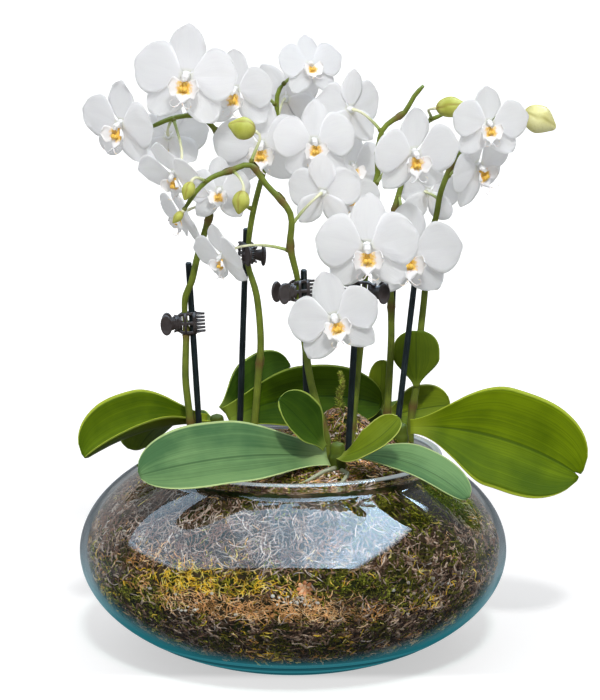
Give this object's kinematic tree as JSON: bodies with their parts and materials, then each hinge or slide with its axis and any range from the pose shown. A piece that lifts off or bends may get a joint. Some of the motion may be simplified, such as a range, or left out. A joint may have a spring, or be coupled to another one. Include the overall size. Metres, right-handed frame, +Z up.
{
  "type": "orchid bowl arrangement",
  "caption": "Wide, low glass bowl filled with moss and planted with white moth orchids, whose arching flower stems are clipped to dark stakes.",
  "frame": {"origin": "centre of the bowl's flat base, on the surface that it stands on", "axes": "+Z up, -Y towards the front of the arrangement, +X to its right"},
  "size_m": [0.3902, 0.3543, 0.4831],
  "materials": {
    "glass": "gloss",
    "moss": "matte",
    "crown": "satin",
    "stake": "gloss",
    "stem": "satin",
    "clip": "satin",
    "leaf": "satin",
    "bloom": "satin"
  },
  "bodies": {
    "root": {"glass_bowl": "glass", "moss": "moss", "crown_front": "crown", "crown_left": "crown", "crown_right": "crown", "crown_back": "crown", "stake_a": "stake", "spike_a": "stem", "clip_a": "clip", "stake_b": "stake", "spike_b": "stem", "clip_b": "clip", "stake_c": "stake", "spike_c": "stem", "clip_c": "clip", "stake_d": "stake", "spike_d": "stem", "clip_d": "clip", "stake_e": "stake", "spike_e": "stem", "clip_e": "clip", "stake_f": "stake", "spike_f": "stem", "clip_f": "clip", "leaf_01": "leaf", "leaf_02": "leaf", "leaf_03": "leaf", "leaf_04": "leaf", "leaf_05": "leaf", "leaf_06": "leaf", "leaf_07": "leaf", "leaf_08": "leaf", "leaf_09": "leaf", "leaf_10": "leaf", "leaf_11": "leaf", "leaf_12": "leaf", "leaf_13": "leaf", "bloom_01": "bloom", "bloom_02": "bloom", "bloom_03": "bloom", "bloom_04": "bloom", "bloom_05": "bloom", "bloom_06": "bloom", "bloom_07": "bloom", "bloom_08": "bloom", "bloom_09": "bloom", "bloom_10": "bloom", "bloom_11": "bloom", "bloom_12": "bloom", "bloom_13": "bloom", "bloom_14": "bloom", "bloom_15": "bloom", "bloom_16": "bloom", "bloom_17": "bloom", "bloom_18": "bloom", "bloom_19": "bloom", "bloom_20": "bloom", "bloom_21": "bloom", "bloom_22": "bloom", "bloom_23": "bloom"}
  },
  "joints": []
}
